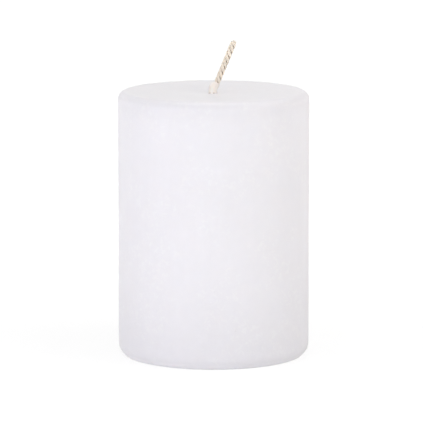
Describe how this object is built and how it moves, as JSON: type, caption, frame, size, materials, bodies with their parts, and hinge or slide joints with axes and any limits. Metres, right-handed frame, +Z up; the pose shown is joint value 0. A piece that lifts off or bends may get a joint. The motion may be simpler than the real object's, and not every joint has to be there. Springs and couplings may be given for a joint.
{
  "type": "pillar candle",
  "caption": "White overdipped pillar candle with softly rounded edges and a leaning laid cotton wick, for a unity ceremony.",
  "frame": {"origin": "centre of the foot, on the surface that the candle stands on", "axes": "+Z up the candle's axis; the free wick leans towards +X"},
  "size_m": [0.072, 0.072, 0.1193],
  "materials": {
    "overdip_wax": "satin white paraffin wax, faintly frosted",
    "pressed_wax": "matte pressed wax granules",
    "tinplate": "tin-plated sheet steel",
    "waxed_cotton": "natural cotton primed with wax"
  },
  "bodies": {
    "root": {"overdip_coat": "overdip_wax", "wax_core": "pressed_wax", "wick_sustainer": "tinplate", "wick_ply_1": "waxed_cotton", "wick_ply_2": "waxed_cotton", "wick_ply_3": "waxed_cotton"}
  },
  "joints": []
}
